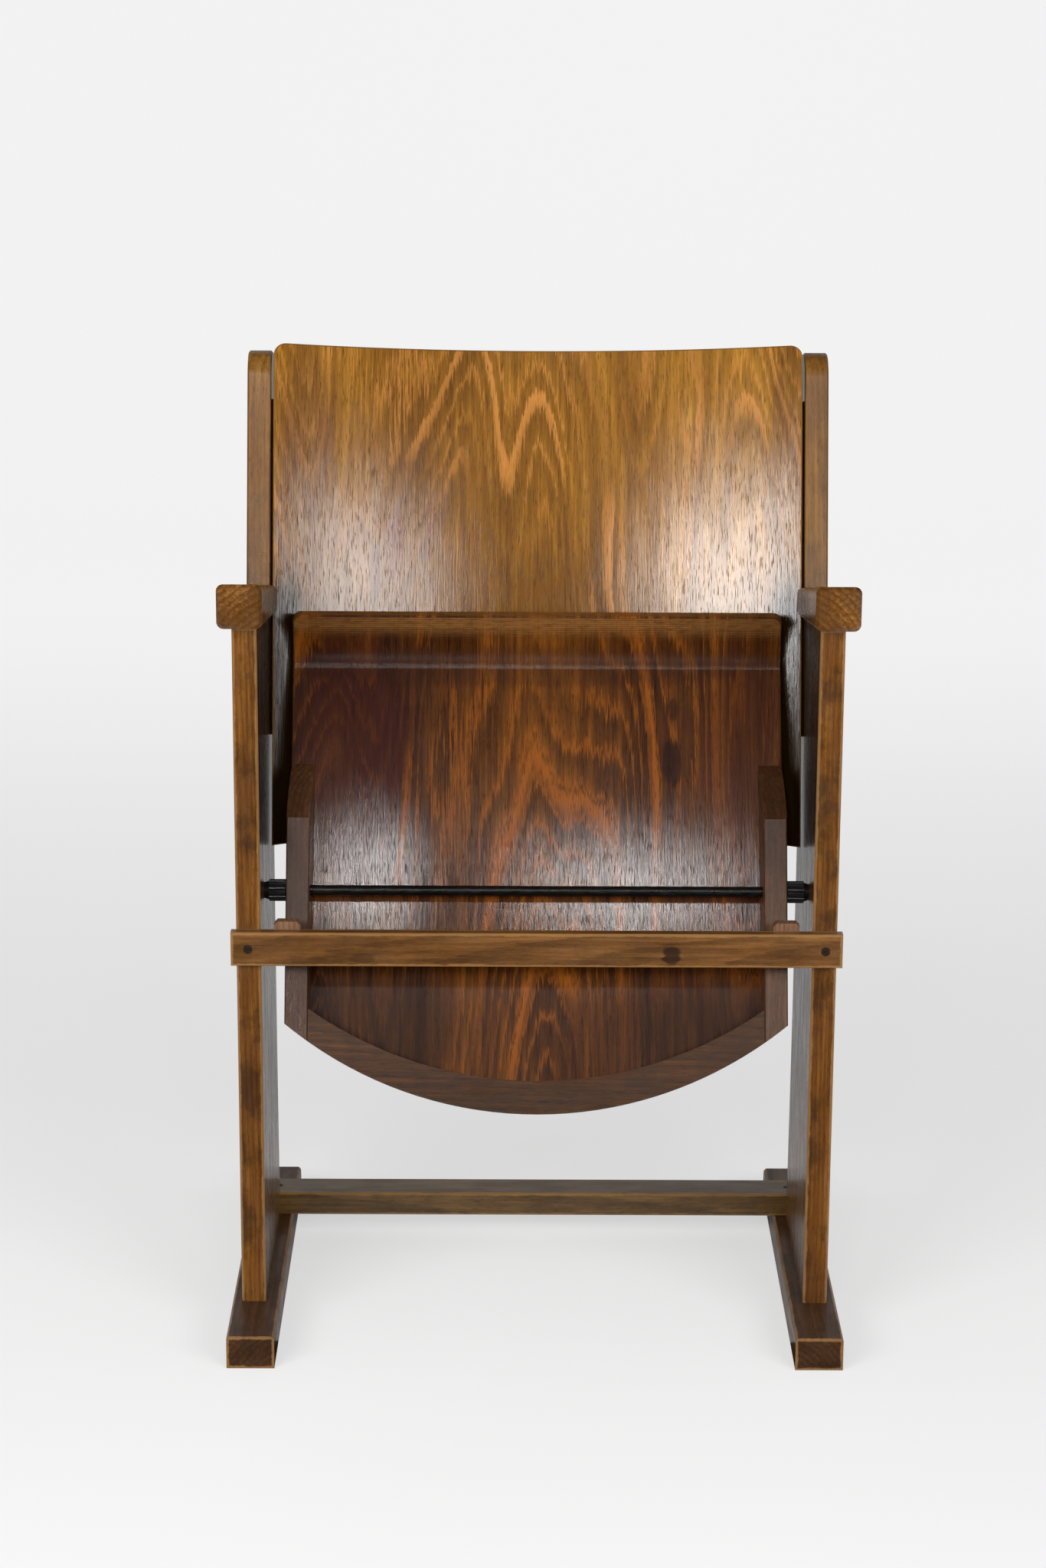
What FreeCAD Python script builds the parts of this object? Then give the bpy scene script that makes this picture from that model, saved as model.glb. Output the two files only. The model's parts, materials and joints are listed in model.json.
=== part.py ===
import FreeCAD, Part
import math
import os

# Tip up auditorium seat in stained beech. Millimetres, +Z up, +X to the sitter's left,
# the front of the seat towards -Y, origin on the floor in the middle of the feet.

V = FreeCAD.Vector

# Feet
foot_span = 535.0
foot_width = 41.5
foot_height = 29.0
foot_length = 418.0
foot_edge_chamfer = 2.0
foot_overhang = 8.2
foot_heel_round = 11.0

# Side frames
side_thickness = 21.3
toe_length = 79.0
front_post_depth = 34.0
narrow_board_depth = 38.0
wide_board_depth = 91.0
board_chamfer = 0.8
post_chamfer = 1.4
tenon_thickness = 11.0
tenon_length = 20.0
tenon_shoulder = 5.0
mortise_clearance = 0.1

# Back posts, a vertical leg that is sawn over into a leaning post
leg_depth = 26.5
leg_flare = 15.5
flare_height = 330.0
post_lean = 15.0
lean_start = 568.5
post_depth = 40.0
post_top_height = 843.6
post_bend_radius = 450.0
post_top_front_round = 24.0
post_top_rear_round = 8.0
post_foot_allowance = 8.0

# Armrests
arm_width = 38.6
arm_inner_overhang = 6.0
arm_front_overhang = 17.0
arm_front_height = 38.5
arm_top_slope = 12.0
arm_base_slope = 8.5
arm_underside_front = 640.0
arm_tail_length = 46.0
arm_long_round = 6.0
arm_nose_chamfer = 2.8
arm_fit_clearance = 0.1
arm_screw_setback = 18.0
arm_screw_rise = 13.0

# Stretcher on the feet
stretcher_depth = 38.0
stretcher_height = 22.0
stretcher_chamfer = 1.6
stretcher_gap = 0.3

# Front slat and the blocks that the seat lands on
slat_overhang = 4.2
slat_height = 30.0
slat_thickness = 11.0
slat_bottom = 344.3
slat_chamfer = 1.0
block_width = 22.6
block_depth = 10.0
block_drop = 26.0
block_rise = 6.8
block_chamfer = 3.0
block_inset = 22.6

# Backrest sheet, a moulded plywood shell between the posts
back_sheet_thickness = 9.0
back_sheet_hollow = 55.0
back_sheet_side_gap = 2.0
back_sheet_setback = 0.6
back_sheet_top_rise = 4.6
back_sheet_bottom = 414.0
back_sheet_corner = 11.0
back_sheet_edge_chamfer = 1.2
cleat_width = 17.0
cleat_depth = 30.0
cleat_length = 300.0
cleat_drop = 45.0

# Seat
axle_setback = 57.0
axle_height = 392.5
axle_diameter = 9.0
axle_bore_clearance = 0.05
axle_end_gap = 2.0
rail_thickness = 20.5
rail_splay = 3.4
rail_underside_drop = 12.2
rail_depth_at_axle = 30.0
seat_wedge = 4.5
rail_front_reach = 62.7
rail_nose_reach = 114.5
rail_nose_bulge = 4.0
rail_chamfer = 1.0
seat_side_gap = 20.7
seat_front_reach = 202.0
seat_rear_reach = 195.0
seat_arc_radius = 348.0
rear_rail_width = 28.6
seat_sheet_thickness = 9.0
seat_bend_radius = 46.0
seat_bend_angle = 47.0
seat_lip_length = 12.4
seat_corner = 8.0
seat_edge_chamfer = 1.2
seat_rest_gap = 0.5
landing_gap = 0.3

# Bearing bushes, fluted
bush_diameter = 19.4
bush_collar_diameter = 17.0
bush_neck_diameter = 14.0
bush_neck_length = 4.2
bush_spigot_diameter = 13.0
bush_spigot_length = 13.0
bush_bore_clearance = 0.06
bush_side_clearance = 0.5
bush_spigot_clearance = 0.05
bush_end_clearance = 0.3
flute_count = 20
flute_depth = 0.9

# Fasteners, made with flat sides
fastener_sides = 10
screw_head = 8.4
screw_shank = 4.2
slot_width = 1.1
slot_depth = 1.3
slat_screw_length = 32.0
stretcher_screw_length = 36.0
foot_screw_length = 60.0
foot_screw_recess = 6.0
foot_recess_clearance = 0.5
block_screw_length = 18.0
back_screw_length = 24.0
cleat_screw_length = 30.0
seat_screw_length = 20.0
arm_screw_length = 26.0
screw_clearance = 0.05
seat_screw_shares = (0.40, 0.05, -0.35)
dowel_diameter = 8.0
dowel_length = 34.0

# Places that follow from the sizes above
front_line = -foot_length / 2
side_outer = foot_span / 2 - foot_overhang
side_inner = side_outer - side_thickness
side_middle = side_outer - side_thickness / 2
foot_inner = foot_span / 2 - foot_width
seat_half_width = side_inner - seat_side_gap
block_centre = side_inner - block_inset
post_front = front_line + toe_length
board_start = post_front + front_post_depth
board_split = board_start + narrow_board_depth
leg_front = board_split + wide_board_depth
leg_rear = leg_front + leg_depth
axle_y = post_front + axle_setback
lean = math.radians(post_lean)
wedge = math.radians(seat_wedge)


def arm_base_at(y):
    """Height of the line on which the armrest lies, at a depth y."""
    return arm_underside_front - (y - post_front) * math.tan(math.radians(arm_base_slope))


def lean_front_at(z):
    """Depth of the leaning front face of the back post, at a height z."""
    return leg_front + (z - lean_start) * math.tan(lean)


def wire_from(path):
    """Closed wire from a start point and steps: (end,) for a line, (middle, end) for an arc."""
    start = path[0]
    here = start
    edges = []
    for step in path[1:]:
        if len(step) == 1:
            edges.append(Part.makeLine(here, step[0]))
        else:
            edges.append(Part.Arc(here, step[0], step[1]).toShape())
        here = step[-1]
    if here.distanceToPoint(start) > 1e-6:
        edges.append(Part.makeLine(here, start))
    return Part.Wire(edges)


def side_prism(path, x_low, x_high):
    """Prism along X from a path of (y, z) pairs, in the form that wire_from takes."""
    lifted = [V(x_low, *path[0])]
    for step in path[1:]:
        lifted.append(tuple(V(x_low, *point) for point in step))
    return Part.Face(wire_from(lifted)).extrude(V(x_high - x_low, 0, 0))


def box(x_low, x_high, y_low, y_high, z_low, z_high):
    return Part.makeBox(x_high - x_low, y_high - y_low, z_high - z_low, V(x_low, y_low, z_low))


def mirrored(shape):
    return shape.mirror(V(0, 0, 0), V(1, 0, 0))


def edges_where(shape, test):
    return [edge for edge in shape.Edges if test(edge)]


def runs_along(edge, direction, tolerance=1e-3):
    """True for a straight edge that is parallel to a direction."""
    if not isinstance(edge.Curve, Part.Line):
        return False
    along = edge.Vertexes[-1].Point - edge.Vertexes[0].Point
    return along.cross(direction).Length < tolerance * along.Length


def moved(shape, place, turn_axis=V(1, 0, 0), turn=0.0):
    """Copy of a shape turned about an axis through the origin, then moved."""
    copy = shape.copy()
    copy.Placement = FreeCAD.Placement(place, FreeCAD.Rotation(turn_axis, turn)).multiply(copy.Placement)
    return copy


def pointed(shape, place, direction):
    """Copy of a shape made along -Z, with its head at a place and its point in a direction."""
    copy = shape.copy()
    copy.Placement = FreeCAD.Placement(place, FreeCAD.Rotation(V(0, 0, -1), direction))
    return copy


# Fasteners

def faceted(stations):
    """Solid with flat sides about the Z axis, from (height, radius) pairs in rising order."""
    turns = [2 * math.pi * n / fastener_sides for n in range(fastener_sides)]
    rings = [[V(radius * math.cos(turn), radius * math.sin(turn), height) for turn in turns]
             for height, radius in stations]
    outlines = [rings[0], rings[-1]]
    for low, high in zip(rings, rings[1:]):
        outlines += [[low[n - 1], low[n], high[n], high[n - 1]] for n in range(fastener_sides)]
    faces = [Part.Face(Part.makePolygon(outline + outline[:1])) for outline in outlines]
    solid = Part.Solid(Part.Shell(faces))
    if solid.Volume < 0:
        solid.reverse()
    return solid


def peg(radius, length, place):
    """Straight faceted pin that stands up from a place."""
    return moved(faceted([(0, radius), (length, radius)]), place)


def screw_body(length, grow=0.0):
    """Countersunk wood screw along -Z, head face at the origin."""
    head = screw_head / 2
    shank = screw_shank / 2
    return faceted([
        (-length - grow, shank / 3 + grow),
        (-length + screw_shank, shank + grow),
        (shank - head, shank + grow),
        (grow, head + 2 * grow),
    ])


def screw(length):
    """Slotted countersunk wood screw."""
    slot = box(-screw_head, screw_head, -slot_width / 2, slot_width / 2, -slot_depth, slot_depth)
    return screw_body(length).cut(slot)


def screw_set(length, places, direction, spin=35.0):
    """Screws at places, with the solids that clear their holes."""
    made = []
    holes = []
    for place in places:
        made.append(pointed(moved(screw(length), V(0, 0, 0), V(0, 0, 1), spin), place, direction))
        holes.append(pointed(screw_body(length, screw_clearance), place, direction))
    return made, holes


# Side frame, made on the +X side

def make_foot():
    foot = box(foot_inner, foot_span / 2, front_line, -front_line, 0, foot_height)
    top_edges = edges_where(foot, lambda e: runs_along(e, V(1, 0, 0)) and e.CenterOfMass.z > foot_height / 2)
    heel = [e for e in top_edges if e.CenterOfMass.y > 0]
    foot = foot.makeFillet(foot_heel_round, heel)
    worn = edges_where(foot, lambda e: e.BoundBox.ZMin > foot_height / 2 and (
        (runs_along(e, V(0, 1, 0)) and e.Length > foot_length / 2)
        or (runs_along(e, V(1, 0, 0)) and e.CenterOfMass.y < front_line + 1)))
    return foot.makeChamfer(foot_edge_chamfer, worn)


def tenon(y_low, y_high, grow=0.0):
    """Tenon under a post, or its mortise with a clearance all round."""
    return box(
        side_middle - tenon_thickness / 2 - grow, side_middle + tenon_thickness / 2 + grow,
        y_low + tenon_shoulder - grow, y_high - tenon_shoulder + grow,
        foot_height - tenon_length - grow, foot_height)


def upright(y_low, y_high, chamfer_front, chamfer_rear):
    """Upright board of the side frame, cut to the slope under the armrest."""
    path = [(y_low, foot_height), ((y_high, foot_height),), ((y_high, arm_base_at(y_high)),),
            ((y_low, arm_base_at(y_low)),)]
    board = side_prism(path, side_inner, side_outer)
    rear = edges_where(board, lambda e: runs_along(e, V(0, 0, 1)) and e.CenterOfMass.y > y_high - 0.01)
    board = board.makeChamfer(chamfer_rear, rear)
    front = edges_where(board, lambda e: runs_along(e, V(0, 0, 1)) and e.CenterOfMass.y < y_low + 0.01)
    return board.makeChamfer(chamfer_front, front)


def make_front_post():
    post = upright(post_front, board_start, post_chamfer, board_chamfer)
    return post.fuse(tenon(post_front, board_start)).removeSplitter()


def make_side_boards():
    """Narrow and wide board; the wide one follows the leaning post above the bend."""
    narrow = upright(board_start, board_split, board_chamfer, board_chamfer)
    meet_z = arm_base_at(leg_front)
    for _ in range(6):
        meet_z = arm_base_at(lean_front_at(meet_z))
    path = [(board_split, foot_height), ((leg_front, foot_height),), ((leg_front, lean_start),),
            ((lean_front_at(meet_z), meet_z),), ((board_split, arm_base_at(board_split)),)]
    wide = side_prism(path, side_inner, side_outer)
    front = edges_where(wide, lambda e: runs_along(e, V(0, 0, 1)) and e.CenterOfMass.y < board_split + 0.01)
    wide = wide.makeChamfer(board_chamfer, front)
    return Part.Compound([narrow, wide])


def make_back_post():
    """Leg and leaning post sawn from one plank, with a tenon in the foot."""
    up = V(0, math.sin(lean), math.cos(lean))
    back = V(0, math.cos(lean), -math.sin(lean))
    top_front = V(0, lean_front_at(post_top_height), post_top_height)
    top_rear = top_front + back * post_depth
    # The rear edge runs down the lean, turns through an arc and flares out to the foot.
    run_y = leg_rear + post_bend_radius * (1 - math.cos(lean))
    run_z = top_rear.z - (top_rear.y - run_y) / math.tan(lean)
    bend_z = run_z - post_bend_radius * math.sin(lean)
    half = lean / 2
    bend_mid = (leg_rear + post_bend_radius * (1 - math.cos(half)), bend_z + post_bend_radius * math.sin(half))
    flare_radius = ((flare_height - foot_height) ** 2 + leg_flare ** 2) / (2 * leg_flare)
    low_z = foot_height - post_foot_allowance
    flare_full = math.asin((flare_height - low_z) / flare_radius)
    flare_half = flare_full / 2
    low_y = leg_rear + flare_radius * (1 - math.cos(flare_full))
    flare_mid = (leg_rear + flare_radius * (1 - math.cos(flare_half)),
                 flare_height - flare_radius * math.sin(flare_half))
    path = [
        (leg_front, low_z),
        ((low_y, low_z),),
        (flare_mid, (leg_rear, flare_height)),
        ((leg_rear, bend_z),),
        (bend_mid, (run_y, run_z)),
        ((top_rear.y, top_rear.z),),
        ((top_front.y, top_front.z),),
        ((leg_front, lean_start),),
    ]
    post = side_prism(path, side_inner, side_outer)
    across = edges_where(post, lambda e: runs_along(e, V(1, 0, 0)))
    front_corner = [e for e in across if (e.CenterOfMass - V(side_middle, top_front.y, top_front.z)).Length < 1]
    post = post.makeFillet(post_top_front_round, front_corner)
    across = edges_where(post, lambda e: runs_along(e, V(1, 0, 0)))
    rear_corner = [e for e in across if (e.CenterOfMass - V(side_middle, top_rear.y, top_rear.z)).Length < 1]
    post = post.makeFillet(post_top_rear_round, rear_corner)
    outline = edges_where(post, lambda e: abs(e.BoundBox.XLength) < 1e-6 and e.CenterOfMass.z > foot_height
                          and not (runs_along(e, V(0, 0, 1)) and abs(e.CenterOfMass.y - leg_front) < 0.01))
    post = post.makeChamfer(post_chamfer, outline)
    post = post.cut(box(0, foot_span, -foot_length, foot_length, 0, foot_height))
    return post.fuse(tenon(leg_front, leg_rear))


def make_armrest():
    """Wedge shaped arm with a softened nose, notched round the back post at its tail."""
    x_low = side_inner - arm_inner_overhang
    x_high = x_low + arm_width
    nose = post_front - arm_front_overhang
    meet = lean_front_at(arm_base_at(lean_front_at(lean_start)))
    tail = meet + arm_tail_length
    nose_top = arm_base_at(nose) + arm_front_height
    tail_top = nose_top - (tail - nose) * math.tan(math.radians(arm_top_slope))
    path = [(nose, arm_base_at(nose)), ((tail, arm_base_at(tail)),), ((tail, tail_top),), ((nose, nose_top),)]
    arm = side_prism(path, x_low, x_high)
    long_edges = edges_where(arm, lambda e: abs(e.BoundBox.XLength) < 1e-6 and e.BoundBox.YLength > 1)
    arm = arm.makeFillet(arm_long_round, long_edges)
    nose_edges = edges_where(arm, lambda e: abs(e.BoundBox.YLength) < 1e-6 and e.CenterOfMass.y < nose + 0.01)
    arm = arm.makeChamfer(arm_nose_chamfer, nose_edges)
    gap = arm_fit_clearance
    z_low = arm_base_at(tail) - arm_tail_length
    z_high = nose_top + arm_tail_length
    far = tail + 2 * arm_tail_length
    behind = side_prism([(lean_front_at(z_low) - gap, z_low), ((far, z_low),), ((far, z_high),),
                         ((lean_front_at(z_high) - gap, z_high),)], x_low - arm_width, side_outer + gap)
    return arm.cut(behind)


# Cross members

def make_stretcher():
    start = leg_rear + leg_flare + stretcher_gap
    bar = box(-side_outer, side_outer, start, start + stretcher_depth, foot_height, foot_height + stretcher_height)
    long_edges = edges_where(bar, lambda e: runs_along(e, V(1, 0, 0)))
    return bar.makeChamfer(stretcher_chamfer, long_edges)


def make_slat():
    half = side_outer + slat_overhang
    slat = box(-half, half, post_front - slat_thickness, post_front, slat_bottom, slat_bottom + slat_height)
    front = edges_where(slat, lambda e: e.BoundBox.YMax < post_front - slat_thickness + 0.01)
    return slat.makeChamfer(slat_chamfer, front)


def make_block():
    """Landing block behind the slat, with its top corners taken off."""
    top = slat_bottom + slat_height + block_rise
    block = box(block_centre - block_width / 2, block_centre + block_width / 2,
                post_front, post_front + block_depth, top - block_rise - block_drop, top)
    ends = edges_where(block, lambda e: runs_along(e, V(0, 1, 0)) and e.CenterOfMass.z > top - 0.01)
    return block.makeChamfer(block_chamfer, ends)


# Backrest

sheet_half = side_inner - back_sheet_side_gap
back_radius = (sheet_half ** 2 + back_sheet_hollow ** 2) / (2 * back_sheet_hollow)


def back_frame():
    """Placement of the leaning frame: local Y is backwards from the post faces, Z up the lean."""
    return FreeCAD.Placement(V(0, leg_front, lean_start), FreeCAD.Rotation(V(1, 0, 0), -post_lean))


def back_depth_at(x):
    """Depth of the sheet's front face behind its front edges, at a distance x from the middle."""
    return math.sqrt(back_radius ** 2 - x ** 2) - math.sqrt(back_radius ** 2 - sheet_half ** 2)


def make_back_sheet():
    """Part of a cylinder, rounded at its upper corners and cut level along its lower edge."""
    top = (post_top_height - lean_start) / math.cos(lean) + back_sheet_top_rise
    low = (back_sheet_bottom - lean_start) / math.cos(lean) - back_sheet_hollow
    centre = back_sheet_setback - math.sqrt(back_radius ** 2 - sheet_half ** 2)
    outer = Part.makeCylinder(back_radius + back_sheet_thickness, top - low, V(0, centre, low))
    inner = Part.makeCylinder(back_radius, top - low, V(0, centre, low))
    strip = box(-sheet_half, sheet_half, back_sheet_setback - back_sheet_thickness,
                back_sheet_setback + 2 * back_sheet_hollow, low, top)
    sheet = outer.cut(inner).common(strip)
    corner = edges_where(sheet, lambda e: runs_along(e, V(0, 1, 0)) and e.CenterOfMass.z > top - 0.01)
    sheet = sheet.makeFillet(back_sheet_corner, corner)
    sheet.Placement = back_frame()
    sheet = sheet.cut(box(-side_inner, side_inner, -foot_length, foot_length, 0, back_sheet_bottom))
    shells = [face for face in sheet.Faces if face.Area > sheet_half ** 2]
    return sheet.makeChamfer(back_sheet_edge_chamfer, [edge for face in shells for edge in face.Edges])


def make_cleat():
    """Batten on the inner face of the post, hollowed to carry the sheet."""
    top = (post_top_height - lean_start) / math.cos(lean) - cleat_drop
    centre = back_sheet_setback - math.sqrt(back_radius ** 2 - sheet_half ** 2)
    batten = box(side_inner - cleat_width, side_inner, back_sheet_setback, cleat_depth, top - cleat_length, top)
    shell = Part.makeCylinder(back_radius + back_sheet_thickness, cleat_length, V(0, centre, top - cleat_length))
    cleat = batten.cut(shell)
    cleat.Placement = back_frame()
    return cleat


# Seat, made level with its axle at the origin and then turned up to rest on the backrest

def underside_at(reach):
    """Height of the sheet's underside over the axle, at a reach in front of the axle."""
    return rail_depth_at_axle - rail_underside_drop + reach * math.tan(wedge)


def seat_outline():
    """Upright prism that gives rails, rear rail and sheet one rounded rear edge."""
    centre = V(0, -(seat_arc_radius - seat_rear_reach), -seat_rear_reach)
    return Part.makeCylinder(seat_arc_radius, 2 * seat_rear_reach, centre)


def make_seat_rail():
    """Side rail with a swept nose, splayed outwards and cut to the rear arc."""
    bottom = -rail_underside_drop
    rear = -seat_rear_reach
    nose_top = underside_at(rail_nose_reach)
    mid_s = (rail_front_reach + rail_nose_reach) / 2
    mid_z = (bottom + nose_top) / 2
    chord = math.hypot(rail_nose_reach - rail_front_reach, nose_top - bottom)
    bulge_s = rail_nose_bulge * (nose_top - bottom) / chord
    bulge_z = rail_nose_bulge * (rail_nose_reach - rail_front_reach) / chord
    path = [(-rear, bottom), ((-rail_front_reach, bottom),),
            ((-(mid_s + bulge_s), mid_z - bulge_z), (-rail_nose_reach, nose_top)),
            ((-rear, underside_at(rear)),)]
    profile = side_prism(path, seat_half_width - 3 * rail_thickness, seat_half_width + rail_thickness)
    # The section leans outwards towards the rail's underside.
    shift = math.tan(math.radians(rail_splay))
    top_z = nose_top + rail_thickness
    reach_top = top_z - underside_at(0)
    reach_low = underside_at(0) - bottom
    outer_top = seat_half_width - shift * reach_top
    outer_low = seat_half_width + shift * reach_low
    y_front = -rail_nose_reach - rail_thickness
    section = [V(outer_low, y_front, bottom), (V(outer_top, y_front, top_z),),
               (V(outer_top - rail_thickness, y_front, top_z),), (V(outer_low - rail_thickness, y_front, bottom),)]
    board = Part.Face(wire_from(section)).extrude(V(0, rail_nose_reach + seat_rear_reach + 2 * rail_thickness, 0))
    rail = profile.common(board).common(seat_outline())
    worn = edges_where(rail, lambda e: e.BoundBox.ZMax < bottom + 1e-3 and e.BoundBox.YLength > rail_nose_reach)
    return rail.makeChamfer(rail_chamfer, worn)


def rail_inner_at(z):
    """Distance of the rail's inner face from the middle, at a height z over the axle."""
    return seat_half_width + math.tan(math.radians(rail_splay)) * (underside_at(0) - z) - rail_thickness


def make_rear_rail():
    """Curved rail between the side rails, flush with their undersides."""
    bottom = -rail_underside_drop
    far = seat_rear_reach + rear_rail_width
    path = [(far, bottom), ((0, bottom),), ((0, underside_at(0)),), ((far, underside_at(-far)),)]
    wedge_block = side_prism(path, -seat_half_width, seat_half_width)
    hollow = moved(seat_outline(), V(0, -rear_rail_width, 0))
    top_z = underside_at(0) + rail_thickness
    low = rail_inner_at(bottom)
    high = rail_inner_at(top_z)
    section = [V(-low, 0, bottom), (V(low, 0, bottom),), (V(high, 0, top_z),), (V(-high, 0, top_z),)]
    between = Part.Face(wire_from(section)).extrude(V(0, far, 0))
    return wedge_block.common(between).common(seat_outline()).cut(hollow)


def make_seat_sheet():
    """Moulded plywood sheet, straight over the rails and rolled down at its front edge."""
    along = V(0, -math.cos(wedge), math.sin(wedge))
    normal = V(0, math.sin(wedge), math.cos(wedge))
    root = V(0, 0, underside_at(0))
    start = root - along * (seat_rear_reach + rear_rail_width)
    bend = root + along * seat_front_reach
    centre = bend - normal * seat_bend_radius

    def spoke(degrees, radius):
        angle = math.radians(degrees)
        return centre + (normal * math.cos(angle) + along * math.sin(angle)) * radius

    outer = seat_bend_radius + seat_sheet_thickness
    lip = spoke(seat_bend_angle + 90, 1.0) - centre
    path = [start, (bend,), (spoke(seat_bend_angle / 2, seat_bend_radius), spoke(seat_bend_angle, seat_bend_radius)),
            (spoke(seat_bend_angle, seat_bend_radius) + lip * seat_lip_length,),
            (spoke(seat_bend_angle, outer) + lip * seat_lip_length,), (spoke(seat_bend_angle, outer),),
            (spoke(seat_bend_angle / 2, outer), bend + normal * seat_sheet_thickness),
            (start + normal * seat_sheet_thickness,)]
    flat_path = [(path[0].y, path[0].z)] + [tuple((p.y, p.z) for p in step) for step in path[1:]]
    sheet = side_prism(flat_path, -seat_half_width, seat_half_width).common(seat_outline())
    tip = spoke(seat_bend_angle, outer) + lip * seat_lip_length
    through = spoke(seat_bend_angle, 1.0) - centre
    corners = edges_where(sheet, lambda e: runs_along(e, through) and abs(e.CenterOfMass.y - tip.y) < 2 * outer
                          and abs((e.CenterOfMass - tip).dot(lip)) < 0.01)
    sheet = sheet.makeFillet(seat_corner, corners)
    skins = [face for face in sheet.Faces if face.BoundBox.XLength > 2 * seat_half_width - seat_edge_chamfer
             and face.CenterOfMass.y < seat_rear_reach / 2]
    edges = [edge for face in skins for edge in face.Edges]
    outline = [edge for edge in edges if sum(edge.isSame(other) for other in edges) == 1]
    return sheet.makeChamfer(seat_edge_chamfer, outline)


def closed_turn():
    """Turn of the level seat, in degrees, at which its bend rests on the backrest."""
    along = (math.cos(wedge), math.sin(wedge))
    normal = (-math.sin(wedge), math.cos(wedge))
    centre_s = along[0] * seat_front_reach - normal[0] * seat_bend_radius
    centre_t = underside_at(0) + along[1] * seat_front_reach - normal[1] * seat_bend_radius
    reach = math.hypot(centre_s, centre_t)
    rise = math.atan2(centre_t, centre_s)
    line_y = lean_front_at(axle_height) + (back_depth_at(seat_half_width) + back_sheet_setback) / math.cos(lean)
    distance = (line_y - axle_y) * math.cos(lean)
    room = distance - seat_rest_gap - seat_bend_radius - seat_sheet_thickness
    return 90 + math.degrees(lean + math.asin(room / reach) - rise)


def landing_rake():
    """Tilt, in degrees, of the rails' undersides when they lie on the blocks' rear top edges."""
    block_top = slat_bottom + slat_height + block_rise
    reach = axle_setback - block_depth
    room = axle_height - block_top - landing_gap
    return math.degrees(math.atan2(reach, room) - math.acos(rail_underside_drop / math.hypot(reach, room)))


seat_turn = closed_turn()


def seat_up(shape):
    """Copy of a level seat piece, turned up about the axle."""
    return moved(shape, V(0, axle_y, axle_height), V(1, 0, 0), -seat_turn)


def rod(radius, x_low, x_high):
    return Part.makeCylinder(radius, x_high - x_low, V(x_low, axle_y, axle_height), V(1, 0, 0))


def make_bush():
    """Fluted bush between post and rail, with a spigot in the side frame."""
    rail_face = rail_inner_at(0) + rail_thickness
    inner_end = rail_face + bush_side_clearance + rail_underside_drop * math.tan(math.radians(rail_splay))
    neck_start = side_inner - bush_neck_length
    tip = bush_diameter / 2
    flute = ((0.0, tip - flute_depth), (0.3, tip), (0.7, tip))
    outline = []
    for n in range(flute_count):
        for share, radius in flute:
            turn = 2 * math.pi * (n + share) / flute_count
            outline.append(V(inner_end, radius * math.cos(turn), radius * math.sin(turn)))
    body = Part.Face(Part.makePolygon(outline + outline[:1])).extrude(V(neck_start - inner_end, 0, 0))
    collar = Part.makeCone(bush_collar_diameter / 2, bush_neck_diameter / 2, bush_neck_length,
                           V(neck_start, 0, 0), V(1, 0, 0))
    spigot = Part.makeCylinder(bush_spigot_diameter / 2, bush_spigot_length, V(side_inner, 0, 0), V(1, 0, 0))
    bush = body.fuse([collar, spigot])
    bush = moved(bush, V(0, axle_y, axle_height))
    bore = rod(axle_diameter / 2 + bush_bore_clearance, 0, side_outer)
    return bush.cut(bore)


# Assembly

def both(name, shape, parts):
    """The same piece on both sides, as two nodes."""
    parts[name + "_right"] = shape
    parts[name + "_left"] = mirrored(shape)


def with_mirror(shapes):
    return list(shapes) + [mirrored(shape) for shape in shapes]


def drill(shape, tools):
    return shape.cut(Part.Compound(tools))


parts = {}

foot = make_foot()
front_post = make_front_post()
side_boards = make_side_boards()
back_post = make_back_post()
armrest = make_armrest()
stretcher = make_stretcher()
slat = make_slat()
block = make_block()
back_sheet = make_back_sheet()
cleat = make_cleat()

foot = drill(foot, [tenon(post_front, board_start, mortise_clearance), tenon(leg_front, leg_rear, mortise_clearance)])

slat_screws, slat_holes = screw_set(
    slat_screw_length,
    [V(side_middle, post_front - slat_thickness, slat_bottom + slat_height / 2)], V(0, 1, 0))
slat = drill(slat, with_mirror(slat_holes))
front_post = drill(front_post, slat_holes)

stretcher_y = leg_rear + leg_flare + stretcher_gap + stretcher_depth / 2
stretcher_screws, stretcher_holes = screw_set(
    stretcher_screw_length,
    [V(foot_inner + foot_width * 0.35, stretcher_y, foot_height + stretcher_height)], V(0, 0, -1), 70.0)
stretcher = drill(stretcher, with_mirror(stretcher_holes))
foot = drill(foot, stretcher_holes)

foot_screw_places = [V(side_middle, board_start + narrow_board_depth / 2, foot_screw_recess),
                     V(side_middle, leg_front - wide_board_depth / 3, foot_screw_recess)]
foot_screws, foot_holes = screw_set(foot_screw_length, foot_screw_places, V(0, 0, 1), 10.0)
recesses = [peg(screw_head / 2 + foot_recess_clearance, foot_screw_recess, V(place.x, place.y, 0))
            for place in foot_screw_places]
foot = drill(foot, foot_holes + recesses)
side_boards = Part.Compound([solid.cut(Part.Compound(foot_holes)) for solid in side_boards.Solids])

block_screws, block_holes = screw_set(
    block_screw_length,
    [V(block_centre, post_front + block_depth, slat_bottom + slat_height / 2)], V(0, -1, 0), 0.0)
block = drill(block, block_holes)
slat = drill(slat, with_mirror(block_holes))

arm_tail_y = lean_front_at(arm_base_at(leg_front)) + arm_screw_setback
arm_screw_z = arm_base_at(arm_tail_y) + arm_screw_rise
arm_screws, arm_holes = screw_set(
    arm_screw_length,
    [V(side_inner - arm_inner_overhang + arm_width, arm_tail_y, arm_screw_z)], V(-1, 0, 0), 20.0)
armrest = drill(armrest, arm_holes)
back_post = drill(back_post, arm_holes)

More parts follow.
